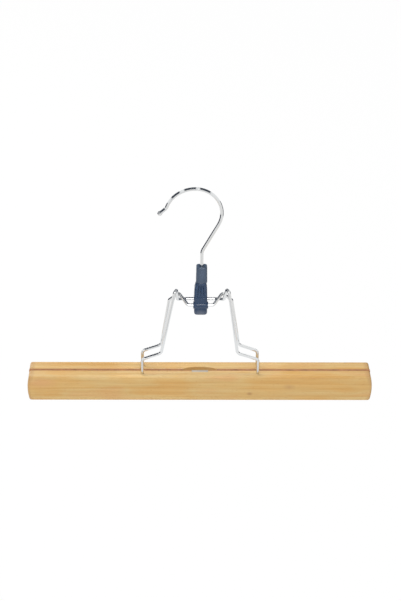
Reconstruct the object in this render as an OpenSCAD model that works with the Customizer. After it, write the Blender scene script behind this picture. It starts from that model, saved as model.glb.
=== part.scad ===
// Clamping trouser hanger: two wooden bars on two crossing wire frames under a swivel hook.
// Millimetres, +Z up. The origin is the rail seat under the top of the hook, the bars run
// along X and the side seen in the photograph faces -Y.

/* [Bars] */
// Length of each wooden bar at half its height
bar_length = 270; // [220:1:330]
// Height of each bar
bar_height = 21.7; // [16:0.1:28]
// Thickness of each bar
bar_thick = 10.7; // [8:0.1:16]
// Radius worked on all the edges of a bar
bar_round = 1.6; // [0.6:0.1:3]
// How far the end of a bar bulges at half its height
end_bulge = 1.4; // [0.4:0.1:3]
// Distance between the inner faces of the closed bars
jaw_gap = 2.5; // [2.3:0.1:5]

/* [Felt] */
// Thickness of each felt strip
felt_thick = 1.1; // [0.6:0.05:1.1]
// Wood left bare above and below a felt strip
felt_margin = 0.9; // [0.5:0.1:3]
// Wood left bare at each end of a felt strip
felt_end_margin = 3.5; // [2:0.5:12]

/* [Scoop and plate] */
// Length of the scoop in the rear bar's inner top edge
scoop_length = 26; // [16:1:40]
// How far the scoop goes into the thickness of the bar
scoop_inset = 2.3; // [1:0.1:3.5]
// Depth of the scoop from the top of the bar
scoop_depth = 3; // [1.5:0.1:6]
// Length of the steel plate in the front bar's inner top edge
plate_length = 12.8; // [8:0.1:20]
// Width of the steel plate across the bar
plate_width = 3.2; // [2:0.1:4]
// Thickness of the steel plate
plate_thick = 1; // [0.6:0.1:1.6]

/* [Wire frames] */
// Diameter of the wire of both frames
wire_d = 2.4; // [1.8:0.1:2.5]
// Distance of a wire end from the middle of the bar
wire_end_x = 45.2; // [42:0.1:60]
// Length of wire end inside a bar
wire_hold = 14; // [8:0.5:17]
// Height of the first bend over the top of the bar
shoulder_rise = 12.9; // [10:0.1:16]
// Distance of the rear frame's knees from the middle
rear_knee_x = 30.4; // [28:0.1:34]
// Distance of the front frame's knees from the middle
front_knee_x = 29.7; // [28:0.1:34]
// Height of the knees over the top of the bar
knee_rise = 18.3; // [17:0.1:22]
// Height of the runs held by the hub over the top of the bar
run_rise = 60.3; // [58:0.1:62]
// Distance of those runs from the plane of the hook
run_y = 5.1; // [4.9:0.1:5.4]
// Distance of the rear frame's corner from the middle
corner_x = 24.2; // [23.8:0.1:24.8]
// Distance of that corner from the plane of the hook
corner_y = 5.7; // [5.4:0.1:6.2]
// Depth of that corner under the runs
corner_down = 1.5; // [1:0.1:2]
// Distance from the middle of the hump where the rear frame passes over
hump_x = 16.6; // [16.4:0.1:16.8]
// Offset of the hump to the rear of the plane of the hook
hump_y = 1; // [0.8:0.1:1.2]
// Height of the hump over the runs
hump_up = 7.1; // [7:0.1:7.5]
// Half the length of the rear frame's run in the hub's barrel
rear_run = 9.9; // [9.7:0.1:10.6]
// Distance of the front frame's peak from the middle
peak_x = 19.8; // [19.6:0.1:20.2]
// Distance of the peak from the plane of the hook
peak_y = 7.6; // [7.2:0.1:7.8]
// Height over the runs at which the two sides of the peak would meet
peak_up = 18.7; // [18.2:0.1:19.5]
// Distance from the middle of the dip where the front frame passes under
dip_x = 17.8; // [17.6:0.1:18]
// Offset of the dip to the rear of the plane of the hook
dip_y = 0.7; // [0.5:0.1:0.9]
// Height of the dip over the runs
dip_up = 1.8; // [1.4:0.1:2]
// Half the length of the front frame's run behind the hub
front_run = 11.5; // [11:0.1:12.5]
// Height of the eyes, about which the frames turn, over the runs
eye_up = 6.5; // [6.2:0.1:6.8]
// How far the front frame's knees and peaks stand to the right of the middle
front_lean = [-0.7, 1];
// Bend radius of the wire at its shoulders, to the centre line
shoulder_bend = 3.2; // [2:0.1:4]
// Bend radius at the knees
knee_bend = 4; // [2:0.1:6]
// Bend radius at the corners and in the eyes
eye_bend = 2; // [1.5:0.1:2.4]

/* [Hub] */
// Height of the hub's upper block
cap_height = 13.2; // [10:0.1:16]
// Width of the upper block
cap_width = 8.7; // [7.6:0.1:10]
// Depth of the upper block, front to back
cap_depth = 8; // [7.6:0.1:10]
// Height of the hub's lower block
body_height = 27; // [26:0.1:30]
// Distance from the bottom of the hub up to the wire runs
run_over_bottom = 8.9; // [6:0.1:10]
// Width of the waist between the two blocks
waist_width = 6.6; // [6.4:0.1:7.2]
// Width of the lower block at the wire runs
body_width = 10.1; // [9:0.1:11]
// Wall of plastic around the wire runs
run_wall = 1.5; // [1.1:0.1:2]
// Height of the ledge on the lower block over the wire runs
ledge_up = 7; // [6:0.1:8]
// How far the ledge stands out at the front and rear
ledge_out = 0.8; // [0.3:0.1:1.2]
// Width of the three flutes in the front of the lower block
flute_width = 0.9; // [0.5:0.1:1.2]
// How far the lower block stands to the left of the stem's axis
body_offset = 0.6; // [0:0.1:1.2]
// Length of the barrel moulded around the front run
barrel_length = 11.4; // [10.4:0.1:12.5]
// Length of the slotted boss around the rear run
boss_length = 10.3; // [9.5:0.1:12]
// Radius of the blocks' edges
hub_round = 0.9; // [0.5:0.1:1.4]
// Diameter of the recess around the stem in the top of the hub
recess_d = 3.6; // [3.4:0.1:5]
// Depth of that recess
recess_depth = 1.6; // [0.6:0.1:3]

/* [Hook] */
// Diameter of the hook's wire
hook_d = 2.6; // [2:0.1:3]
// Height of the rail seat over the top of the bars
hang_height = 154.6; // [145:0.1:175]
// Distance of the stem's axis from the rail seat
stem_x = 5.3; // [2:0.1:8]
// Distance of the stem's axis from the middle of the bars
stem_offset = 0.6; // [0:0.1:1]
// Radius of the hook on the side of the stem, to the centre line
hook_r = 20; // [17:0.1:23]
// Angle the hook turns through before its neck
hook_turn = 118.5; // [114:0.5:130]
// Bend radius between the neck and the stem
neck_bend = 9; // [6:0.5:12]
// Radius of the hook on its open side
mouth_r = 22.7; // [18:0.1:26]
// Angle the hook turns through on its open side
mouth_turn = 70; // [55:1:85]
// Outward bend of the tip
tip_flare = 28; // [10:1:40]
// Bend radius of that flare
flare_bend = 4; // [3:0.5:8]
// Straight length from the flare to the middle of the ball
tip_length = 5.5; // [4:0.1:9]
// Diameter of the ball on the tip
ball_d = 3.8; // [3.3:0.1:5]
// Diameter of the head that holds the stem in the hub
head_d = 4.8; // [4:0.1:5]
// Thickness of that head
head_thick = 2; // [1.2:0.1:2.5]

/* [Clearances] */
// Radial clearance of a wire run in its bore or slot
run_clearance = 0.06; // [0.02:0.01:0.1]
// Radial clearance of the stem in the hub
stem_clearance = 0.06; // [0.02:0.01:0.1]
// Gap over the stem's head
head_clearance = 0.05; // [0.03:0.01:0.1]
// Radial gap around a wire end in its bar
hold_clearance = 0.03; // [0.01:0.01:0.1]
// Gap around the steel plate in its pocket
plate_clearance = 0.03; // [0.01:0.01:0.1]

/* [Motion] */
// Furthest opening of the rear jaw in degrees
open_max = 10; // [4:1:10]

/* [Hidden] */
$fn = 48;

chrome = [0.80, 0.81, 0.83];
navy_light = [0.33, 0.38, 0.46];
navy = [0.24, 0.29, 0.39];
wood = [0.87, 0.72, 0.50];
felt = [0.50, 0.34, 0.22];
steel = [0.70, 0.68, 0.68];

// Heights, with the rail seat at zero
bar_top = -hang_height;
bar_bottom = bar_top - bar_height;
run_z = bar_top + run_rise;
hub_bottom = run_z - run_over_bottom;
waist_z = hub_bottom + body_height;
hub_top = waist_z + cap_height;
bar_y = jaw_gap / 2 + bar_thick / 2;

// How far the front frame's run slides when the two frames turn about their eyes
eye_reach = norm([run_y, eye_up]);
eye_angle = atan2(eye_up, run_y);
run_travel = 2 * (run_y - eye_reach * cos(eye_angle + open_max));

run_r = wire_d / 2 + run_clearance;
boss_r = run_r + run_wall;
stem_bore = hook_d / 2 + stem_clearance;
cavity_d = head_d + 0.5;
cavity_height = head_thick + 2.2;
spigot_height = 1.6;
spigot_d = cavity_d - 0.04;
head_top = waist_z + cavity_height - head_clearance;

function unit(v) = v / norm(v);
function turn(a, b, c) = acos(max(-1, min(1, unit(b - a) * unit(c - b))));
function tangent(a, b, c, r) = r * tan(turn(a, b, c) / 2);
function frame(x, y, o) =
    let (z = cross(x, y))
    [[x[0], y[0], z[0], o[0]], [x[1], y[1], z[1], o[1]], [x[2], y[2], z[2], o[2]], [0, 0, 0, 1]];
function mirrored(half) =
    let (n = len(half))
    concat(half, [for (i = [n - 1 : -1 : 0]) [-half[i][0], half[i][1], half[i][2]]]);
function and_back(list) =
    let (n = len(list))
    concat(list, [for (i = [n - 1 : -1 : 0]) list[i]]);

// Round bar between two points
module rod(a, b, d) {
    u = unit(b - a);
    side = abs(u[2]) > 0.9 ? [1, 0, 0] : [0, 0, 1];
    x = unit(cross(side, u));
    multmatrix(frame(x, cross(u, x), a)) cylinder(h = norm(b - a), d = d);
}

// A hair-thin ring that welds two lengths of wire into one solid
module weld(o, u, d) {
    rod(o - 0.1 * u, o + 0.1 * u, d + 0.04);
}

// Bend of radius r at corner b
module bend(a, b, c, r, d) {
    u = unit(b - a);
    v = unit(c - b);
    t = tangent(a, b, c, r);
    inward = cross(unit(cross(u, v)), u);
    multmatrix(frame(-inward, u, b - u * t + inward * r))
        rotate_extrude(angle = turn(a, b, c)) translate([r, 0]) circle(d = d);
    weld(b - u * t, u, d);
    weld(b + v * t, v, d);
}

// Wire through the points p, bent to the radius in r at each inner one
module bent_wire(p, r, d) {
    n = len(p);
    for (i = [0 : n - 2]) {
        a = p[i];
        b = p[i + 1];
        u = unit(b - a);
        t0 = i == 0 ? 0 : tangent(p[i - 1], a, b, r[i - 1]);
        t1 = i == n - 2 ? 0 : tangent(a, b, p[i + 2], r[i]);
        rod(a + u * t0, b - u * t1, d);
    }
    for (i = [1 : n - 2]) bend(p[i - 1], p[i], p[i + 1], r[i - 1], d);
}

// Points of a rectangle w by d with round corners, s facets to a corner
function ring(w, d, r, s) = [
    for (q = [0 : 3], k = [0 : s])
        let (
            a = 90 * (q + k / s),
            cx = (q == 0 || q == 3 ? 1 : -1) * (w / 2 - r),
            cy = (q < 2 ? 1 : -1) * (d / 2 - r)
        )
        [cx + r * cos(a), cy + r * sin(a)]
];

// Solid skin over rings of points that all have the same count, closed by flat ends
module skin(rings) {
    n = len(rings[0]);
    m = len(rings);
    sides = [
        for (j = [0 : m - 2], i = [0 : n - 1], h = [0, 1])
            let (
                a = j * n + i,
                b = j * n + (i + 1) % n,
                c = a + n,
                e = b + n
            )
            h == 0 ? [a, c, b] : [b, c, e]
    ];
    base = [for (i = [0 : n - 1]) i];
    lid = [for (i = [n - 1 : -1 : 0]) (m - 1) * n + i];
    polyhedron(points = [for (r = rings) each r], faces = concat([base], sides, [lid]), convexity = 4);
}

// Block of levels [height, width, depth, corner radius, shift to the left], from the bottom up
module block(levels) {
    skin([for (l = levels) [for (p = ring(l[1], l[2], l[3], 6)) [p[0] - l[4], p[1], l[0]]]]);
}

// Profile of a round edge: steps [inset, rise] for radius r, from the outside of the edge inwards
function edge(r) = [for (a = [0 : 22.5 : 90]) [r * (1 - cos(a)), r * sin(a)]];

// One bar centred on x and y with its top at zero, all edges rounded and both ends bulged
module plain_bar() {
    half = bar_length / 2 - bar_round;
    steps = edge(bar_round);
    m = len(steps);
    flat = bar_height / 2 - bar_round;
    // The right side of the section from the bottom up, as [out of the round, height]
    side = concat(
        [for (a = [-90 : 15 : 0]) [cos(a), sin(a), -1]],
        [for (t = [-0.8 : 0.2 : 0.81]) [1, 0, t]],
        [for (a = [0 : 15 : 90]) [cos(a), sin(a), 1]]
    );
    n = len(side);
    function point(p, inset) = [
        bar_thick / 2 - bar_round + p[0] * (bar_round - inset),
        flat * p[2] + p[1] * (bar_round - inset)
    ];
    function section(inset) = concat(
        [for (p = side) point(p, inset)],
        [for (i = [n - 1 : -1 : 0]) let (p = point(side[i], inset)) [-p[0], p[1]]]
    );
    // The bulge of the ends is drawn in from the middle of the height to the top and bottom
    function at(s, i) = [
        for (p = section(min(steps[i][0], bar_round - 0.02)))
            let (x = half + steps[i][1] - end_bulge * pow(2 * p[1] / bar_height, 2))
            [s * x, p[0], p[1] - bar_height / 2]
    ];
    rings = concat([for (i = [m - 1 : -1 : 0]) at(-1, i)], [for (i = [0 : m - 1]) at(1, i)]);
    k = 2 * n;
    last = (2 * m - 1) * k;
    sides = [
        for (j = [0 : 2 * m - 2], i = [0 : k - 1])
            let (
                a = j * k + i,
                b = j * k + (i + 1) % k
            )
            each [[a, b, a + k], [b, b + k, a + k]]
    ];
    // An end is a stack of flat strips, since points at one height share one x
    strips = [
        for (i = [0 : n - 2])
            each [[i, k - 1 - i, k - 2 - i, i + 1], [for (v = [i + 1, k - 2 - i, k - 1 - i, i]) last + v]]
    ];
    polyhedron(points = [for (r = rings) each r], faces = concat(sides, strips), convexity = 4);
}

// Bar drilled for both wire ends
module drilled_bar() {
    difference() {
        plain_bar();
        for (side = [-1, 1])
            translate([side * wire_end_x, 0, -wire_hold - 0.5])
                cylinder(h = wire_hold + 1, r = wire_d / 2 + hold_clearance);
    }
}

// The hub is set out from the stem's axis
module on_stem() {
    translate([stem_x, 0, 0]) children();
}

// The frames and bars are set out from the middle of the bars
module on_middle() {
    translate([stem_x - stem_offset, 0, 0]) children();
}

rear_half = [
    [wire_end_x, bar_y, bar_top - wire_hold],
    [wire_end_x, bar_y, bar_top + shoulder_rise],
    [rear_knee_x, bar_y, bar_top + knee_rise],
    [corner_x, corner_y, run_z - corner_down],
    [hump_x, hump_y, run_z + hump_up],
    [rear_run, -run_y, run_z],
];
front_half = [
    [wire_end_x, -bar_y, bar_top - wire_hold],
    [wire_end_x, -bar_y, bar_top + shoulder_rise],
    [front_knee_x, -bar_y, bar_top + knee_rise],
    [peak_x, -peak_y, run_z + peak_up],
    [dip_x, dip_y, run_z + dip_up],
    [front_run, run_y, run_z],
];
bends = [shoulder_bend, knee_bend, eye_bend, eye_bend, eye_bend];
// The front frame leans: its bottom stands to the left and its top to the right
leans = and_back([0, 0, front_lean[0], front_lean[1], 0, 0]);

module rear_wire() {
    color(chrome) on_middle() bent_wire(mirrored(rear_half), and_back(bends), wire_d);
}

module front_wire() {
    points = mirrored(front_half);
    leaning = [for (i = [0 : len(points) - 1]) points[i] + [leans[i], 0, 0]];
    color(chrome) on_middle() bent_wire(leaning, and_back(bends), wire_d);
}

module rear_bar() {
    scoop_r = (pow(scoop_length / 2, 2) + pow(scoop_inset, 2)) / (2 * scoop_inset);
    color(wood) on_middle() translate([0, bar_y, bar_top]) difference() {
        drilled_bar();
        translate([0, -bar_thick / 2 + scoop_inset - scoop_r, -scoop_depth])
            cylinder(h = scoop_depth + 1, r = scoop_r, $fn = 160);
    }
}

module front_bar() {
    color(wood) on_middle() translate([0, -bar_y, bar_top]) difference() {
        drilled_bar();
        translate([-plate_length / 2 - plate_clearance, bar_thick / 2 - plate_width - plate_clearance, -plate_thick])
            cube([plate_length + 2 * plate_clearance, plate_width + plate_clearance + 1, plate_thick + 1]);
    }
}

// Felt strip with its lower front corner left at the inner face of a bar
module felt_strip() {
    length = bar_length - 2 * end_bulge - 2 * felt_end_margin;
    height = bar_height - 2 * felt_margin;
    translate([-length / 2, 0, bar_bottom + felt_margin]) cube([length, felt_thick, height]);
}

module rear_felt() {
    color(felt) on_middle() difference() {
        translate([0, jaw_gap / 2 - felt_thick, 0]) felt_strip();
        translate([-scoop_length / 2, 0, bar_top - scoop_depth])
            cube([scoop_length, jaw_gap, scoop_depth + 1]);
    }
}

module front_felt() {
    color(felt) on_middle() difference() {
        translate([0, -jaw_gap / 2, 0]) felt_strip();
        translate([-plate_length / 2, -jaw_gap, bar_top - plate_thick - 0.6])
            cube([plate_length, jaw_gap, plate_thick + 1.6]);
    }
}

module centre_plate() {
    color(steel) on_middle()
        translate([-plate_length / 2, -jaw_gap / 2 - plate_width, bar_top - plate_thick])
        cube([plate_length, plate_width, plate_thick]);
}

module hub_cap() {
    e = edge(hub_round);
    low = edge(hub_round * 0.7);
    n = len(e);
    levels = concat(
        [for (i = [n - 1 : -1 : 0])
            [waist_z + hub_round * 0.7 - low[i][1], cap_width - 2 * low[i][0], cap_depth - 2 * low[i][0], 1.6, 0]],
        [for (i = [0 : n - 1])
            [hub_top - hub_round + e[i][1], cap_width - 0.4 - 2 * e[i][0], cap_depth - 0.2 - 2 * e[i][0], 1.6, 0]]
    );
    color(navy_light) on_stem() difference() {
        block(levels);
        translate([0, 0, waist_z - 1]) cylinder(h = cap_height + 2, r = stem_bore);
        translate([0, 0, waist_z - 1]) cylinder(h = cavity_height + 1, d = cavity_d);
        translate([0, 0, hub_top - recess_depth]) cylinder(h = recess_depth + 1, d = recess_d);
    }
}

module hub_body() {
    // The barrel stands out of the lower block as a bead, and the ledge lies over it
    deep = 2 * (run_y + boss_r) - 2.2;
    neck = cap_depth - 0.4;
    up = body_height - run_over_bottom;
    r = run_over_bottom * 0.32;
    bottom = edge(r);
    n = len(bottom);
    s = body_offset;
    levels = concat(
        [for (i = [n - 1 : -1 : 0])
            [hub_bottom + r - bottom[i][1], body_width - 1.6 * bottom[i][0], deep - 2 * bottom[i][0], 1.4, s]],
        [
            [run_z + ledge_up - 0.4, body_width, deep, 1.4, s],
            [run_z + ledge_up, body_width - 0.1, deep - ledge_out, 1.4, s],
            [run_z + ledge_up + 0.1, body_width - 0.1, deep - 2 * ledge_out, 1.4, s],
            [run_z + up * 0.7, body_width * 0.96, (deep - 2 * ledge_out + neck) / 2, 1.5, s * 0.9],
            [waist_z - 2, body_width * 0.84, neck, 1.5, s * 0.6],
            [waist_z - 0.8, waist_width + 0.5, cap_depth - 1, 1.5, s * 0.2],
            [waist_z, waist_width, cap_depth - 1.6, 1.5, 0],
        ]
    );
    face = -deep / 2 + ledge_out;
    color(navy) on_stem() difference() {
        union() {
            block(levels);
            translate([-s - barrel_length / 2, -run_y, run_z])
                rotate([0, 90, 0]) cylinder(h = barrel_length, r = boss_r);
            translate([-s - boss_length / 2, run_y, run_z])
                rotate([0, 90, 0]) cylinder(h = boss_length, r = boss_r);
            // The boss is drawn out to the front around the slot
            translate([-s - boss_length / 2, run_y - run_travel, run_z - boss_r])
                cube([boss_length, run_travel, 2 * boss_r]);
            translate([0, 0, waist_z - 1]) cylinder(h = 1 + spigot_height, d = spigot_d);
        }
        translate([-s - barrel_length, -run_y, run_z])
            rotate([0, 90, 0]) cylinder(h = 2 * barrel_length, r = run_r);
        // The slot lets the front frame's run travel towards the front as the jaws open
        hull() for (y = [run_y, run_y - run_travel - 0.1])
            translate([-s - boss_length, y, run_z]) rotate([0, 90, 0]) cylinder(h = 2 * boss_length, r = run_r);
        for (x = [-0.26, 0, 0.26])
            rod([x * body_width - s, face, run_z + ledge_up + 0.8],
                [x * waist_width * 0.9 - s * 0.6, -neck / 2, waist_z - 2.2], flute_width);
    }
}

// Heading is the angle below the level at which the wire leaves a point
module hook_side(sign, r, angle) {
    translate([0, 0, hook_d / 2 - r]) rotate([90, 0, 0])
        rotate([0, 0, sign > 0 ? 90 - angle : 90])
        rotate_extrude(angle = angle) translate([r, 0]) circle(d = hook_d);
}

module hook() {
    z0 = hook_d / 2;
    lean = hook_turn - 90;
    neck_x = hook_r * sin(hook_turn);
    neck_z = z0 - hook_r * (1 - cos(hook_turn));
    run = (neck_x - stem_x - neck_bend * (1 - cos(lean))) / sin(lean);
    down = [-sin(lean), 0, -cos(lean)];
    low = [neck_x, 0, neck_z] + run * down;
    corner = low + neck_bend * tan(lean / 2) * down;
    stem_end = [stem_x, 0, head_top - 0.5];

    out_x = -mouth_r * sin(mouth_turn);
    out_z = z0 - mouth_r * (1 - cos(mouth_turn));
    heading = [-cos(mouth_turn), 0, -sin(mouth_turn)];
    flared = [-cos(mouth_turn - tip_flare), 0, -sin(mouth_turn - tip_flare)];
    t = flare_bend * tan(tip_flare / 2);
    mouth = [out_x, 0, out_z];
    flare = mouth + t * heading;
    tip = flare + (t + tip_length) * flared;

    color(chrome) {
        hook_side(1, hook_r, hook_turn);
        hook_side(-1, mouth_r, mouth_turn);
        weld([0, 0, z0], [1, 0, 0], hook_d);
        weld([neck_x, 0, neck_z], down, hook_d);
        bent_wire([[neck_x, 0, neck_z], corner, stem_end], [neck_bend], hook_d);
        weld(mouth, heading, hook_d);
        bent_wire([mouth, flare, tip], [flare_bend], hook_d);
        translate(tip) sphere(d = ball_d);
        translate([stem_x, 0, head_top - head_thick]) cylinder(h = head_thick, d = head_d);
    }
}

hook();
hub_cap();
hub_body();
rear_wire();
rear_bar();
rear_felt();
front_wire();
front_bar();
front_felt();
centre_plate();
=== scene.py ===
"""Dresses the trouser hanger: chromed wire, a moulded hub, two wooden bars with felt linings."""

import math
from collections import namedtuple

import bpy
from bpy.props import FloatProperty, FloatVectorProperty, PointerProperty, StringProperty
from mathutils import Matrix, Vector


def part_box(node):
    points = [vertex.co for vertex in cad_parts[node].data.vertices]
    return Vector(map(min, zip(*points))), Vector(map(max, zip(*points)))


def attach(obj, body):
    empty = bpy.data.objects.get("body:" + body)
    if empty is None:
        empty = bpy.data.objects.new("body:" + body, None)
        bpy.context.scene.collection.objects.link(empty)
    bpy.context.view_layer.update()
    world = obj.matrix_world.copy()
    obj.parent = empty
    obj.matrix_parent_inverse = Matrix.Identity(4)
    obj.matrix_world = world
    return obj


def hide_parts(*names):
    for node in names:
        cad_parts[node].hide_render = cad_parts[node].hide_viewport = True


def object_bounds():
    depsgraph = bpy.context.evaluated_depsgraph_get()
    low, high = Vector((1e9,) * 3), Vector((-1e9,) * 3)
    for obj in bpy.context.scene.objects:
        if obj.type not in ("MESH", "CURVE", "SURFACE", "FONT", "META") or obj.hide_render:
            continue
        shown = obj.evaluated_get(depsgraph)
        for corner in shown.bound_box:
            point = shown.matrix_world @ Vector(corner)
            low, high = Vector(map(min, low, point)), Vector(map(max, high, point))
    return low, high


bl_info = {
    "name": "Trouser hanger",
    "version": (1, 0, 0),
    "blender": (4, 5, 0),
    "location": "View3D > Sidebar > Hanger",
    "description": "Finishes the packed trouser hanger and sets it in a pale studio",
    "category": "Object",
}

MM = 0.001
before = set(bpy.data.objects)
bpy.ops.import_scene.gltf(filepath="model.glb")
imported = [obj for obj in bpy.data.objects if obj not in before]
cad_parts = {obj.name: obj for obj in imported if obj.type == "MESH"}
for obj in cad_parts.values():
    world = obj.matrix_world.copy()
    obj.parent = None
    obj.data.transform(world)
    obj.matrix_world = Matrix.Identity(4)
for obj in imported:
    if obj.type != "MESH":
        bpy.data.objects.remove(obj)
CAD_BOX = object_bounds()

# The pieces' boxes give the places that the stage and the patterns are set out from
BAR_LOW, BAR_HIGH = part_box("front_bar")
REAR_LOW, REAR_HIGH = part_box("rear_bar")
HUB_LOW, HUB_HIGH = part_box("hub_body")
MIDDLE_X = (BAR_LOW.x + BAR_HIGH.x) / 2
# The bars' ends bulge 3 mm over their height of 21.7 mm, an arc of 21 mm
END_ROUND = 21 * MM
# The hook's arc turns about this point, and its outer rim runs about 21 mm from it
HOOK_CENTRE = Vector((0, 0, -20 * MM))
HOOK_RIM = 21 * MM

# Edges sharper than this are rounded, and the rest are shaded smooth
SHARP_EDGE = math.radians(40)
# Corners nearer than this are one corner, and faces that lean less than this are one face
SAME_CORNER = 0.002 * MM
SAME_FACE = math.radians(0.6)

# A soft box: its place from the hanger's middle in metres, its width and height, and its watts
SoftBox = namedtuple("SoftBox", "place width height watts")
LAMPS = {
    "key_lamp": SoftBox((-1.1, -1.5, 1.0), 1.0, 1.0, 8),
    "fill_lamp": SoftBox((1.4, -1.2, 0.5), 1.0, 1.0, 1),
    "top_lamp": SoftBox((-0.3, 0.3, 1.6), 0.9, 0.9, 9),
    "back_lamp": SoftBox((-1.2, 1.5, 0.92), 1.5, 1.5, 24),
    "strip_lamp": SoftBox((0.1, -1.4, 1.1), 0.5, 0.4, 9),
}
# The spark lamp's place is from the hub's middle
SPARK_LAMP = SoftBox((0, -0.165, 0.115), 0.12, 0.05, 0.008)
SPARK_SPREAD = math.radians(40)
# Strength of the room's own light on the object, and the floor's width in metres
ROOM_LIGHT = 0.55
FLOOR_WIDTH = 12
# Share of the floor's light that is plain white, so that the rest can hold a shadow
FLOOR_WHITE = 0.97

# Levels of linear light that the cards show
DARK = (0.060, 0.072, 0.095)
WHITE = (1.02, 1.04, 1.06)
GREY = (0.70, 0.72, 0.74)
# Stretches of the hook's arc that mirror a card: start and end in degrees from its top,
# and how far round the wire the card is seen, in degrees from the outer rim
DARK_STRETCHES = ((-88, -59, 70), (-47, -29, 100), (-20, 2, 100), (9, 31, 100), (58, 92, 50))
WHITE_STRETCHES = ((-59, -46, 120), (-30, -18, 120), (0, 12, 120), (29, 60, 120))
DARK_DISTANCE = 0.30
WHITE_DISTANCE = 0.33
# The frames' level runs lie this far over the hub's foot
RUN_RISE = 9 * MM

# A tint laid over a finish in one place, used for real marks and for painted light and shade: its centre,
# its reach along each axis, its strength and colour
Mark = namedtuple("Mark", "centre reach strength tint")


def mm(*lengths):
    """Lengths in millimetres as metres."""
    return tuple(length * MM for length in lengths)


def linear(hex_colour):
    """An sRGB hex colour as linear RGBA."""
    value = hex_colour.lstrip("#")
    channels = [int(value[i : i + 2], 16) / 255 for i in (0, 2, 4)]
    return tuple(c / 12.92 if c <= 0.04045 else ((c + 0.055) / 1.055) ** 2.4 for c in channels) + (1.0,)


def shade(colour, times):
    """A linear colour made darker or lighter."""
    return tuple(min(1.0, c * times) for c in colour[:3]) + (1.0,)


def grey(value):
    return (value, value, value, 1.0)


def hex_property(name, description, default):
    return StringProperty(name=name, description=description, default=default, maxlen=7)


class HangerSizes(bpy.types.PropertyGroup):
    """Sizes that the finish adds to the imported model."""

    edge_softening: FloatProperty(
        name="Moulded edge",
        description="Radius that takes the hardness off the hub's cut edges",
        default=0.30 * MM,
        unit="LENGTH",
    )
    wood_edge: FloatProperty(
        name="Sanded edge",
        description="Radius sanded on the edges of holes and pockets in the bars",
        default=0.25 * MM,
        unit="LENGTH",
    )
    plate_edge: FloatProperty(
        name="Plate edge",
        description="Radius of the small plate's tumbled edges",
        default=0.15 * MM,
        unit="LENGTH",
    )
    grain_width: FloatProperty(
        name="Grain width",
        description="Width of one band of grain across a bar",
        default=2.4 * MM,
        unit="LENGTH",
    )
    felt_cell: FloatProperty(
        name="Felt cell",
        description="Size of the faces that the felt's nap is raised on",
        default=0.55 * MM,
        unit="LENGTH",
    )
    felt_nap: FloatProperty(
        name="Felt nap",
        description="Height of the felt's uneven surface",
        default=0.10 * MM,
        unit="LENGTH",
    )
    felt_reach: FloatProperty(
        name="Felt reach",
        description="Length that each lining is drawn out towards the bar's ends",
        default=4.2 * MM,
        unit="LENGTH",
    )
    felt_rise: FloatProperty(
        name="Felt rise",
        description="Height that the linings stand up towards the bar's top",
        default=0.45 * MM,
        unit="LENGTH",
    )


class HangerColours(bpy.types.PropertyGroup):
    """Colours of the finishes, as sRGB hex values."""

    chrome: hex_property("Chrome", "Bright chromium plate", "#DDDDDC")
    plastic: hex_property("Plastic", "Slate-blue moulding of the hub", "#1A3452")
    plastic_light: hex_property("Plastic, upper block", "Upper block of the hub", "#404E61")
    wood_pale: hex_property("Wood, early", "Pale bands of the bars' grain", "#D6B87B")
    wood_deep: hex_property("Wood, late", "Deeper bands of the bars' grain", "#C99E57")
    wood_pore: hex_property("Wood, pores", "Short brown dashes in the bars' grain", "#B98548")
    # The duller rim at the bars' ends is end grain and, on the faces beside it, painted shade
    wood_end_grain_and_shade: hex_property("Wood, ends", "Rim at the rounded ends of the bars", "#B08652")
    felt: hex_property("Felt", "Brown lining of the bars", "#B57C4B")
    zinc: hex_property("Plate", "Dull plated steel", "#B4A999")


class HangerStage(bpy.types.PropertyGroup):
    """Where the camera stands and how far below the hanger the floor lies."""

    azimuth: FloatProperty(
        name="Azimuth",
        description="Turn of the camera round the hanger in degrees",
        default=-0.996,
    )
    elevation: FloatProperty(
        name="Elevation",
        description="Height of the camera over the level in degrees",
        default=28.556,
    )
    roll: FloatProperty(
        name="Roll",
        description="Tilt of the camera about its own axis in degrees",
        default=0.598,
    )
    distance: FloatProperty(
        name="Distance",
        description="From the camera to its target",
        default=1.339,
        unit="LENGTH",
    )
    lens: FloatProperty(
        name="Lens",
        description="Focal length in millimetres on a 36 mm sensor",
        default=104.19,
    )
    target: FloatVectorProperty(
        name="Target",
        description="Point at the middle of the photograph",
        default=(4.63 * MM, 0, -93.13 * MM),
        subtype="TRANSLATION",
    )
    floor_drop: FloatProperty(
        name="Floor drop",
        description="Height of the bars over the floor, since the hanger hangs",
        default=0.42,
        unit="LENGTH",
    )


def feed(tree, node, inputs):
    """Gives a node its inputs, each a value or a socket to link."""
    for name, value in inputs.items():
        if isinstance(value, bpy.types.NodeSocket):
            tree.links.new(value, node.inputs[name])
        else:
            node.inputs[name].default_value = value


def add(tree, kind, inputs=None, stops=(), **settings):
    """A node with its settings, its inputs and, on a ramp, its stops of (place, linear colour)."""
    made = tree.nodes.new("ShaderNode" + kind)
    for name, value in settings.items():
        setattr(made, name, value)
    feed(tree, made, inputs or {})
    if stops:
        elements = made.color_ramp.elements
        while len(elements) < len(stops):
            elements.new(0.5)
        for element, (place, colour) in zip(elements, stops):
            element.position = place
            element.color = colour
    return made


def new_material(name):
    """A material with its tree, its shader and the place on the piece that patterns read."""
    material = bpy.data.materials.new(name)
    material.use_nodes = True
    tree = material.node_tree
    return material, tree, tree.nodes["Principled BSDF"], add(tree, "TexCoord").outputs["Object"]


def grained(tree, place, size, inputs, shift=(0.0, 0.0, 0.0)):
    """Noise whose grains have the given size along each axis."""
    scale = [1 / length for length in size]
    laid = add(tree, "Mapping", {"Vector": place, "Location": shift, "Scale": scale})
    noise = add(tree, "TexNoise", {"Vector": laid.outputs["Vector"], "Scale": 1.0, **inputs})
    return noise.outputs["Fac"]


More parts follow.
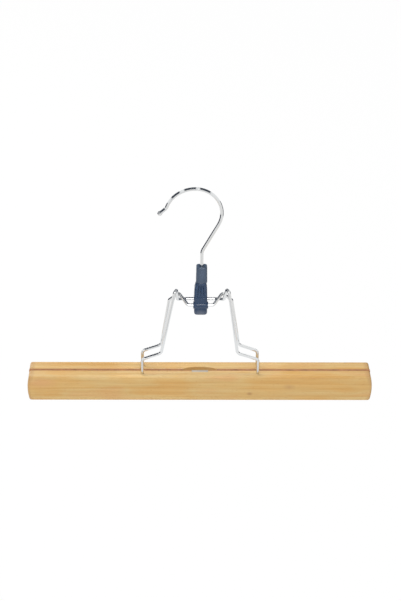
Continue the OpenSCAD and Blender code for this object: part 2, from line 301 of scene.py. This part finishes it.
def marked(tree, place, colour, mark):
    """The colour with a mark laid over it, full near the mark's centre and gone at its reach."""
    scale = [1 / reach for reach in mark.reach]
    shift = [-centre * times for centre, times in zip(mark.centre, scale)]
    near = add(tree, "Mapping", {"Vector": place, "Location": shift, "Scale": scale})
    away = add(tree, "VectorMath", {0: near.outputs["Vector"]}, operation="LENGTH")
    fade = {"From Min": 0.25, "From Max": 1.0, "To Min": mark.strength, "To Max": 0.0}
    share = add(tree, "MapRange", {"Value": away.outputs["Value"], **fade})
    laid = add(
        tree,
        "Mix",
        {"Factor": share.outputs["Result"], "A": colour, "B": linear(mark.tint)},
        data_type="RGBA",
    )
    return laid.outputs["Result"]


def chromium_plate(name, smear):
    """Bright chromium plate over drawn steel wire: a hard mirror, faintly smeared by handling."""
    material, tree, shader, place = new_material(name)
    handled = add(tree, "TexNoise", {"Vector": place, "Scale": 1 / (9 * MM), "Detail": 3.0})
    haze = {"From Min": 0.3, "From Max": 0.75, "To Min": 0.07, "To Max": 0.07 + smear}
    rough = add(tree, "MapRange", {"Value": handled.outputs["Fac"], **haze})
    # Die lines of the drawn wire are 0.05 mm apart, shown at 0.4 mm to be seen at all
    drawn = add(tree, "TexNoise", {"Vector": place, "Scale": 1 / (0.4 * MM), "Detail": 2.0})
    bump = add(tree, "Bump", {"Height": drawn.outputs["Fac"], "Strength": 0.05, "Distance": 0.02 * MM})
    skin = {
        "Base Color": linear(bpy.context.scene.hanger_colours.chrome),
        "Metallic": 1.0,
        "Roughness": rough.outputs["Result"],
        "Normal": bump.outputs["Normal"],
    }
    feed(tree, shader, skin)
    return material


def moulded_plastic(name, hex_colour, streak, gloss, painted_highlight):
    """Injection-moulded ABS: satin skin with faint upright flow streaks and a fine orange peel."""
    material, tree, shader, place = new_material(name)
    base = linear(hex_colour)
    # Streaks 0.8 mm wide run up the block, so the pattern is drawn out along Z
    flow = grained(tree, place, mm(0.8, 0.8, 18), {"Detail": 3.0})
    stops = [(0.32, shade(base, 1 - streak)), (0.52, base), (0.72, shade(base, 1 + streak))]
    streaked = add(tree, "ValToRGB", {"Fac": flow}, stops)
    satin = {"From Min": 0.3, "From Max": 0.7, "To Min": 0.20, "To Max": 0.32}
    rough = add(tree, "MapRange", {"Value": flow, **satin})
    # Orange peel has dimples of 0.35 mm
    peel = add(tree, "TexNoise", {"Vector": place, "Scale": 1 / (0.35 * MM), "Detail": 2.0})
    bump = add(tree, "Bump", {"Height": peel.outputs["Fac"], "Strength": 0.12, "Distance": 0.03 * MM})
    # Each block has one paler patch, as in the photograph: a painted highlight where its face catches the
    # light
    skin = {
        "Base Color": marked(tree, place, streaked.outputs["Color"], painted_highlight),
        "Roughness": rough.outputs["Result"],
        "Normal": bump.outputs["Normal"],
        "IOR": 1.53,
        "Specular IOR Level": gloss,
    }
    feed(tree, shader, skin)
    return material


def end_grain_and_shade_rim(tree, place):
    """Strength of the duller rim that follows the rounded ends of the bars: end grain on the ends, and
    painted shade where the rim runs onto the faces beside them.
    """
    # Places are taken from the bar's middle, and its depth is left out
    middle = (-MIDDLE_X, 0, -(BAR_LOW.z + BAR_HIGH.z) / 2)
    centred = add(tree, "Mapping", {"Vector": place, "Location": middle, "Scale": (1, 0, 1)})
    outward = add(tree, "VectorMath", {0: centred.outputs["Vector"]}, operation="ABSOLUTE")
    # Distances then start at the centre of the end's arc
    inset = (END_ROUND - (BAR_HIGH.x - MIDDLE_X), 0, 0)
    arc = add(tree, "VectorMath", {0: outward.outputs["Vector"], 1: inset}, operation="ADD")
    kept = add(tree, "VectorMath", {0: arc.outputs["Vector"], 1: (0, 0, 0)}, operation="MAXIMUM")
    away = add(tree, "VectorMath", {0: kept.outputs["Vector"]}, operation="LENGTH")
    inner, outer = END_ROUND - 2.6 * MM, END_ROUND - 0.6 * MM
    fade = {"From Min": inner, "From Max": outer, "To Min": 0.0, "To Max": 0.5}
    return add(tree, "MapRange", {"Value": away.outputs["Value"], **fade}).outputs["Result"]


def lacquered_wood(name, shift, marks):
    """Pale straight-grained hardwood, planed, sanded and clear lacquered: fine bands along the bar."""
    material, tree, shader, place = new_material(name)
    colours = bpy.context.scene.hanger_colours
    width = bpy.context.scene.hanger_sizes.grain_width
    # Bands run along X for about 140 mm before they fade
    wavy = {"Detail": 4.0, "Roughness": 0.6, "Distortion": 0.35}
    bands = grained(tree, place, (140 * MM, width, width), wavy, shift)
    seasons = [(0.30, linear(colours.wood_deep)), (0.70, linear(colours.wood_pale))]
    tone = add(tree, "ValToRGB", {"Fac": bands}, seasons)
    # Heartwood drifts from honey to a pinker tone over some 45 mm
    drift = grained(tree, place, mm(45, 14, 14), {"Detail": 2.0}, shift)
    warmth = [(0.35, linear("#FFE9C0")), (0.5, grey(1.0)), (0.68, linear("#FFE6DC"))]
    warm = add(tree, "ValToRGB", {"Fac": drift}, warmth)
    drifted = add(
        tree,
        "Mix",
        {"Factor": 0.6, "A": tone.outputs["Color"], "B": warm.outputs["Color"]},
        data_type="RGBA",
        blend_type="MULTIPLY",
    )
    # Fibres are 0.35 mm wide and 25 mm long
    fibres = grained(tree, place, mm(25, 0.35, 0.35), {"Detail": 3.0})
    fine = add(tree, "ValToRGB", {"Fac": fibres}, [(0.3, grey(0.86)), (0.7, grey(1.0))])
    fibred = add(
        tree,
        "Mix",
        {"Factor": 0.8, "A": drifted.outputs["Result"], "B": fine.outputs["Color"]},
        data_type="RGBA",
        blend_type="MULTIPLY",
    )
    # Pores are short brown dashes 0.3 mm wide and 3.2 mm long
    pores = grained(tree, place, mm(3.2, 0.3, 0.3), {"Detail": 1.0})
    pore_mask = add(tree, "MapRange", {"Value": pores, "From Min": 0.66, "From Max": 0.76})
    brown = linear(colours.wood_pore)
    pored = add(
        tree,
        "Mix",
        {"Factor": pore_mask.outputs["Result"], "A": fibred.outputs["Result"], "B": brown},
        data_type="RGBA",
    )
    colour = pored.outputs["Result"]
    for mark in marks:
        colour = marked(tree, place, colour, mark)
    # End grain drinks more lacquer and turns a duller brown, and the rim carries on about 2.6 mm onto the
    # faces beside it as painted shade of the rounded ends
    finished = add(
        tree,
        "Mix",
        {"Factor": end_grain_and_shade_rim(tree, place), "A": colour, "B": linear(colours.wood_end_grain_and_shade)},
        data_type="RGBA",
    )
    sheen = {"From Min": 0.3, "From Max": 0.7, "To Min": 0.38, "To Max": 0.52}
    rough = add(tree, "MapRange", {"Value": fibres, **sheen})
    relief = add(tree, "Math", {0: fibres, 1: pore_mask.outputs["Result"]}, operation="SUBTRACT")
    bump = add(tree, "Bump", {"Height": relief.outputs["Value"], "Strength": 0.18, "Distance": 0.05 * MM})
    skin = {
        "Base Color": finished.outputs["Result"],
        "Roughness": rough.outputs["Result"],
        "Normal": bump.outputs["Normal"],
        "IOR": 1.5,
        "Coat Weight": 0.25,
        "Coat Roughness": 0.2,
    }
    feed(tree, shader, skin)
    return material


def wool_felt(name):
    """Pressed wool felt: matted fibres with no weave, and a soft bloom at the edges."""
    material, tree, shader, place = new_material(name)
    base = linear(bpy.context.scene.hanger_colours.felt)
    # Single fibres are 0.02 mm, so tufts of 0.3 mm stand for them
    matted = {"Scale": 1 / (0.3 * MM), "Detail": 4.0, "Distortion": 1.2}
    tufts = add(tree, "TexNoise", {"Vector": place, **matted}).outputs["Fac"]
    # Uneven pressing shows as clouds of 6 mm
    clouds = add(tree, "TexNoise", {"Vector": place, "Scale": 1 / (6 * MM), "Detail": 2.0}).outputs["Fac"]
    both = add(tree, "Math", {0: tufts, 1: clouds}, operation="MULTIPLY")
    colour = add(tree, "ValToRGB", {"Fac": both.outputs["Value"]}, [(0.12, shade(base, 0.6)), (0.38, base)])
    bump = add(tree, "Bump", {"Height": tufts, "Strength": 0.7, "Distance": 0.12 * MM})
    skin = {
        "Base Color": colour.outputs["Color"],
        "Roughness": 0.95,
        "Normal": bump.outputs["Normal"],
        "Sheen Weight": 0.35,
        "Sheen Roughness": 0.5,
    }
    feed(tree, shader, skin)
    return material


def zinc_plate(name):
    """Zinc-plated strip steel: dull grey, rolled along its length."""
    material, tree, shader, place = new_material(name)
    # Rolling lines are 0.15 mm apart
    lines = grained(tree, place, mm(6, 0.15, 0.15), {"Detail": 3.0})
    dull = {"From Min": 0.3, "From Max": 0.7, "To Min": 0.32, "To Max": 0.5}
    rough = add(tree, "MapRange", {"Value": lines, **dull})
    bump = add(tree, "Bump", {"Height": lines, "Strength": 0.15, "Distance": 0.02 * MM})
    skin = {
        "Base Color": linear(bpy.context.scene.hanger_colours.zinc),
        "Metallic": 0.85,
        "Roughness": rough.outputs["Result"],
        "Normal": bump.outputs["Normal"],
    }
    feed(tree, shader, skin)
    return material


def coat(piece, material):
    """Gives the whole piece one material."""
    piece.data.materials.clear()
    piece.data.materials.append(material)


def select_only(piece):
    bpy.ops.object.select_all(action="DESELECT")
    piece.select_set(True)
    bpy.context.view_layer.objects.active = piece


def merged_copy(node, name):
    """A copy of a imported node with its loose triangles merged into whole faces."""
    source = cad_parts[node]
    piece = bpy.data.objects.new(name, source.data.copy())
    bpy.context.scene.collection.objects.link(piece)
    select_only(piece)
    bpy.ops.mesh.customdata_custom_splitnormals_clear()
    bpy.ops.object.mode_set(mode="EDIT")
    bpy.ops.mesh.select_all(action="SELECT")
    bpy.ops.mesh.remove_doubles(threshold=SAME_CORNER)
    bpy.ops.mesh.dissolve_limited(angle_limit=SAME_FACE)
    bpy.ops.object.mode_set(mode="OBJECT")
    return piece


def soften(piece, radius, segments=2):
    """Rounds the sharp edges, and shades the rest smooth."""
    select_only(piece)
    bevel = piece.modifiers.new("edges", "BEVEL")
    bevel.width = radius
    bevel.segments = segments
    bevel.limit_method = "ANGLE"
    bevel.angle_limit = SHARP_EDGE
    bevel.use_clamp_overlap = True
    bpy.ops.object.modifier_apply(modifier=bevel.name)
    bpy.ops.object.shade_smooth_by_angle(angle=SHARP_EDGE)


def stand_for(piece, node, body):
    """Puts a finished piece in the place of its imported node."""
    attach(piece, body)
    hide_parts(node)


class HANGER_OT_wires(bpy.types.Operator):
    """Plate the hook and the two wire frames"""

    bl_idname = "hanger.wires"
    bl_label = "Hook and wire frames"

    def execute(self, context):
        coat(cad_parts["hook"], chromium_plate("chromium_plated_hook_wire", 0.05))
        plated = chromium_plate("chromium_plated_frame_wire", 0.12)
        coat(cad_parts["front_wire"], plated)
        coat(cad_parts["rear_wire"], plated)
        return {"FINISHED"}


class HANGER_OT_hub(bpy.types.Operator):
    """Finish the two blocks of the moulded hub"""

    bl_idname = "hanger.hub"
    bl_label = "Moulded hub"

    def execute(self, context):
        sizes, colours = context.scene.hanger_sizes, context.scene.hanger_colours
        upper = merged_copy("hub_cap", "hub_upper_block")
        soften(upper, sizes.edge_softening)
        # The paler patch in the middle of the upper block's face is a painted highlight
        waist_painted_highlight = Mark(mm(5.3, -4, -70), mm(3.6, 6, 9), 0.3, "#5C6B82")
        coat(upper, moulded_plastic("moulded_abs_upper", colours.plastic_light, 0.10, 0.35, waist_painted_highlight))
        stand_for(upper, "hub_cap", "hub")
        lower = merged_copy("hub_body", "hub_lower_block")
        soften(lower, sizes.edge_softening)
        # The paler patch at the foot is a painted highlight on the hub's rounded bottom
        foot = Mark((4.7 * MM, HUB_LOW.y, HUB_LOW.z + 2.5 * MM), mm(6, 7, 3.5), 0.6, "#646B79")
        coat(lower, moulded_plastic("moulded_abs_lower", colours.plastic, 0.14, 0.5, foot))
        stand_for(lower, "hub_body", "hub")
        return {"FINISHED"}


class HANGER_OT_bars(bpy.types.Operator):
    """Sand and lacquer the two wooden bars"""

    bl_idname = "hanger.bars"
    bl_label = "Wooden bars"

    def execute(self, context):
        pin_knot = Mark((43.7 * MM, BAR_LOW.y, -169.9 * MM), mm(2.9, 3, 1.9), 0.5, "#8F5E30")
        smoky_streak = Mark((74.5 * MM, BAR_LOW.y, -163.6 * MM), mm(6, 4, 3), 0.35, "#A87A48")
        pink_patch = Mark((-120 * MM, BAR_LOW.y, -160 * MM), mm(16, 14, 6), 0.25, "#D09070")
        rear_knot = Mark((70 * MM, REAR_HIGH.y, -166 * MM), mm(2.2, 3, 1.6), 0.4, "#9A6A3A")
        # Painted shade darkens the scoop cut into the rear bar's inner top edge
        scoop_painted_shade = Mark((MIDDLE_X, REAR_LOW.y, -155.6 * MM), mm(14, 3, 2.4), 0.6, "#9A6638")
        finishes = {
            "front": ((0.0, 0.0, 0.0), (pin_knot, smoky_streak, pink_patch)),
            "rear": ((3.1, 7.7, 2.3), (rear_knot, scoop_painted_shade)),
        }
        for side, (shift, marks) in finishes.items():
            bar = merged_copy(side + "_bar", side + "_wooden_bar")
            soften(bar, context.scene.hanger_sizes.wood_edge)
            coat(bar, lacquered_wood("lacquered_beech_" + side, shift, marks))
            stand_for(bar, side + "_bar", side + "_jaw")
        return {"FINISHED"}


class HANGER_OT_linings(bpy.types.Operator):
    """Make the two felt linings with their nap"""

    bl_idname = "hanger.linings"
    bl_label = "Felt linings"

    def execute(self, context):
        sizes = context.scene.hanger_sizes
        felt = wool_felt("pressed_wool_felt")
        nap = bpy.data.textures.new("felt_nap", "CLOUDS")
        nap.noise_scale = 1.3 * MM
        nap.noise_depth = 2
        for side in ("front", "rear"):
            lining = merged_copy(side + "_felt", side + "_felt_lining")
            low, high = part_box(side + "_felt")
            wider = 1 + 2 * sizes.felt_reach / (high.x - low.x)
            higher = 1 + sizes.felt_rise / (high.z - low.z)
            foot = Vector(((low.x + high.x) / 2, (low.y + high.y) / 2, low.z))
            bpy.ops.object.mode_set(mode="EDIT")
            bpy.ops.mesh.select_all(action="SELECT")
            bpy.ops.transform.resize(value=(wider, 1, higher), center_override=foot)
            bpy.ops.object.mode_set(mode="OBJECT")
            cells = lining.modifiers.new("cells", "REMESH")
            cells.mode = "VOXEL"
            cells.voxel_size = sizes.felt_cell
            bpy.ops.object.modifier_apply(modifier=cells.name)
            raised = lining.modifiers.new("nap", "DISPLACE")
            raised.texture = nap
            raised.texture_coords = "LOCAL"
            raised.strength = sizes.felt_nap
            # Most of the nap sinks, so the lining stays about as thick as its strip
            raised.mid_level = 0.8
            bpy.ops.object.modifier_apply(modifier=raised.name)
            bpy.ops.object.shade_smooth()
            coat(lining, felt)
            stand_for(lining, side + "_felt", side + "_jaw")
        return {"FINISHED"}


class HANGER_OT_plate(bpy.types.Operator):
    """Finish the small plate let into the front bar"""

    bl_idname = "hanger.plate"
    bl_label = "Steel plate"

    def execute(self, context):
        plate = merged_copy("centre_plate", "let_in_plate")
        soften(plate, context.scene.hanger_sizes.plate_edge, segments=3)
        coat(plate, zinc_plate("zinc_plated_strip"))
        stand_for(plate, "centre_plate", "front_jaw")
        return {"FINISHED"}


def seen_rays(tree):
    """One for rays from the camera and for mirrored and refracted ones, none for the rest."""
    rays = add(tree, "LightPath").outputs
    straight = {0: rays["Is Camera Ray"], 1: rays["Is Glossy Ray"]}
    bare = add(tree, "Math", straight, operation="MAXIMUM")
    every = {0: bare.outputs["Value"], 1: rays["Is Transmission Ray"]}
    return add(tree, "Math", every, operation="MAXIMUM").outputs["Value"]


def white_floor(name):
    """Matt white floor that shows white to the camera and to the chrome, and keeps a soft shadow."""
    material, tree, shader, _ = new_material(name)
    feed(tree, shader, {"Base Color": linear("#F4F4F4"), "Roughness": 0.9})
    share = add(tree, "Math", {0: seen_rays(tree), 1: FLOOR_WHITE}, operation="MULTIPLY")
    glow = add(tree, "Emission", {"Color": grey(1.0), "Strength": 1.0})
    both = {0: share.outputs["Value"], 1: shader.outputs["BSDF"], 2: glow.outputs["Emission"]}
    mixed = add(tree, "MixShader", both)
    feed(tree, tree.nodes["Material Output"], {"Surface": mixed.outputs["Shader"]})
    return material


def card_face(name, level):
    """A card that shows one level of light, whatever lamps stand round it."""
    material, tree, _, _ = new_material(name)
    glow = add(tree, "Emission", {"Color": level + (1.0,), "Strength": 1.0})
    feed(tree, tree.nodes["Material Output"], {"Surface": glow.outputs["Emission"]})
    return material


def white_room(lit, shown):
    """A room that lights the object at one level and shows another to the camera and the chrome."""
    world = bpy.data.worlds.new("white_studio")
    world.use_nodes = True
    tree = world.node_tree
    tree.nodes.clear()
    level = add(tree, "MapRange", {"Value": seen_rays(tree), "To Min": lit, "To Max": shown})
    back = add(tree, "Background", {"Color": grey(1.0), "Strength": level.outputs["Result"]})
    add(tree, "OutputWorld", {"Surface": back.outputs["Background"]})
    bpy.context.scene.world = world


def lay_floor(height):
    """The plain floor under the hanging hanger."""
    bpy.ops.object.select_all(action="DESELECT")
    bpy.ops.mesh.primitive_plane_add(size=FLOOR_WIDTH, location=(0, 0, height))
    floor = bpy.context.object
    floor.name = "studio_floor"
    coat(floor, white_floor("matt_white_floor"))


def soft_lamp(name, box, aim):
    """A soft box that faces aim, from its own place beside it."""
    data = bpy.data.lights.new(name, "AREA")
    data.shape = "RECTANGLE"
    data.size = box.width
    data.size_y = box.height
    data.energy = box.watts
    lamp = bpy.data.objects.new(name, data)
    lamp.location = aim + Vector(box.place)
    lamp.rotation_mode = "QUATERNION"
    lamp.rotation_quaternion = (-Vector(box.place)).to_track_quat("-Z", "Y")
    lamp.visible_camera = False
    bpy.context.scene.collection.objects.link(lamp)
    return lamp


def flag(name, edges, material):
    """A band stretched between pairs of points, hidden from the camera, from diffuse light and from
    shadows, so that only glossy reflections show it.
    """
    bpy.ops.object.select_all(action="DESELECT")
    bpy.ops.mesh.primitive_grid_add(x_subdivisions=1, y_subdivisions=len(edges) - 1, size=1)
    made = bpy.context.object
    made.name = name
    # A new grid numbers its corners row by row
    for vertex, corner in zip(made.data.vertices, [point for pair in edges for point in pair]):
        vertex.co = corner
    made.visible_camera = False
    made.visible_diffuse = False
    made.visible_shadow = False
    coat(made, material)


def mirrored_view(view, around, tilt):
    """Direction that the hook's wire mirrors: around is its place on the arc, tilt 0 its outer edge."""
    along = Vector((math.cos(around), 0, -math.sin(around)))
    edge = along.cross(view).normalized()
    facing = (along * view.dot(along) - view).normalized()
    normal = edge * math.cos(tilt) + facing * math.sin(tilt)
    return view - 2 * view.dot(normal) * normal


def hook_edges(view, stretch, distance):
    """Pairs of points that one stretch of the hook's arc mirrors, ten degrees of tilt apart."""
    start, end, inner = stretch
    edges = []
    for tilt in range(0, inner + 1, 10):
        pair = []
        for around in (math.radians(start), math.radians(end)):
            rim = HOOK_CENTRE + Vector((math.sin(around), 0, math.cos(around))) * HOOK_RIM
            pair.append(rim + mirrored_view(view, around, math.radians(tilt)) * distance)
        edges.append(pair)
    return edges


def hang_cards(view, floor_z):
    """Stands the cards where the chrome mirrors them as dark and white patches in the photograph."""
    dark, white = card_face("dark_card", DARK), card_face("white_card", WHITE)
    cards = [(stretch, DARK_DISTANCE, dark) for stretch in DARK_STRETCHES]
    cards += [(stretch, WHITE_DISTANCE, white) for stretch in WHITE_STRETCHES]
    for number, (stretch, distance, material) in enumerate(cards):
        flag("hook_flag_%d" % (number + 1), hook_edges(view, stretch, distance), material)

    # An arch behind the hub darkens the upper rims of the level runs
    runs = Vector((HUB_LOW.x / 2 + HUB_HIGH.x / 2, 0, HUB_LOW.z + RUN_RISE))
    edges = []
    for lift in (math.radians(angle) for angle in range(-12, 39, 10)):
        arch = runs + Vector((0, math.cos(lift), math.sin(lift))) * DARK_DISTANCE
        edges.append([arch + Vector((x, 0, 0)) for x in mm(-30, 30)])
    flag("run_flag", edges, dark)

    # A white card over the bars keeps the wood out of the frames' steep parts
    over_bars = BAR_HIGH.z + 14 * MM
    edges = [[Vector((x, y, over_bars)) for y in mm(-40, 40)] for x in mm(-60, 70)]
    flag("window_card", edges, white)

    # A grey card on the floor before the camera draws a line down the legs and the hub's face
    on_floor = floor_z + 5 * MM
    edges = [[Vector((x, y, on_floor)) for y in (-1.25, -0.6)] for x in (-0.3, 0.3)]
    flag("floor_card", edges, card_face("grey_card", GREY))


def camera_axes(stage):
    """The camera's right, its top and its way back from the target."""
    turn, rise, roll = (math.radians(angle) for angle in (stage.azimuth, stage.elevation, stage.roll))
    back = Vector((math.sin(turn) * math.cos(rise), -math.cos(turn) * math.cos(rise), math.sin(rise)))
    right = Vector((math.cos(turn), math.sin(turn), 0))
    above = back.cross(right)
    side = right * math.cos(roll) + above * math.sin(roll)
    top = above * math.cos(roll) - right * math.sin(roll)
    return side, top, back


class HANGER_OT_stage(bpy.types.Operator):
    """Set the floor, the lamps, the cards and the camera"""

    bl_idname = "hanger.stage"
    bl_label = "Studio and camera"

    def execute(self, context):
        stage = context.scene.hanger_stage
        side, top, back = camera_axes(stage)
        floor_z = BAR_LOW.z - stage.floor_drop
        lay_floor(floor_z)
        white_room(ROOM_LIGHT, 1.0)

        middle = Vector((MIDDLE_X, 0, (CAD_BOX[0].z + CAD_BOX[1].z) / 2))
        for name, box in LAMPS.items():
            soft_lamp(name, box, middle)
        # A small lamp near the hub only draws highlights along its rounded edges
        spark = soft_lamp("spark_lamp", SPARK_LAMP, (HUB_LOW + HUB_HIGH) / 2)
        spark.data.spread = SPARK_SPREAD
        spark.visible_diffuse = False
        hang_cards(-back, floor_z)

        data = bpy.data.cameras.new("photo_camera")
        data.sensor_width = 36
        data.lens = stage.lens
        camera = bpy.data.objects.new("photo_camera", data)
        stand = Matrix.Translation(Vector(stage.target) + back * stage.distance)
        camera.matrix_world = stand @ Matrix((side, top, back)).transposed().to_4x4()
        context.scene.collection.objects.link(camera)
        context.scene.camera = camera
        context.scene.view_settings.view_transform = "Standard"
        return {"FINISHED"}


class HANGER_PT_panel(bpy.types.Panel):
    """Lists the hanger's pieces in the order they are finished"""

    bl_idname = "HANGER_PT_panel"
    bl_label = "Trouser hanger"
    bl_space_type = "VIEW_3D"
    bl_region_type = "UI"
    bl_category = "Hanger"

    def draw(self, context):
        layout = self.layout
        for name, kind in GROUPS.items():
            box = layout.box()
            for field in kind.__annotations__:
                box.prop(getattr(context.scene, name), field)
        for operator in OPERATORS:
            layout.operator(operator.bl_idname)


GROUPS = {
    "hanger_sizes": HangerSizes,
    "hanger_colours": HangerColours,
    "hanger_stage": HangerStage,
}
OPERATORS = (
    HANGER_OT_wires,
    HANGER_OT_hub,
    HANGER_OT_bars,
    HANGER_OT_linings,
    HANGER_OT_plate,
    HANGER_OT_stage,
)
CLASSES = (*GROUPS.values(), *OPERATORS, HANGER_PT_panel)


def register():
    for part in CLASSES:
        bpy.utils.register_class(part)
    for name, kind in GROUPS.items():
        setattr(bpy.types.Scene, name, PointerProperty(type=kind))


def unregister():
    for name in GROUPS:
        delattr(bpy.types.Scene, name)
    for part in reversed(CLASSES):
        bpy.utils.unregister_class(part)


def main():
    register()
    bpy.ops.hanger.wires()
    bpy.ops.hanger.hub()
    bpy.ops.hanger.bars()
    bpy.ops.hanger.linings()
    bpy.ops.hanger.plate()
    bpy.ops.hanger.stage()


if __name__ == "__main__":
    main()
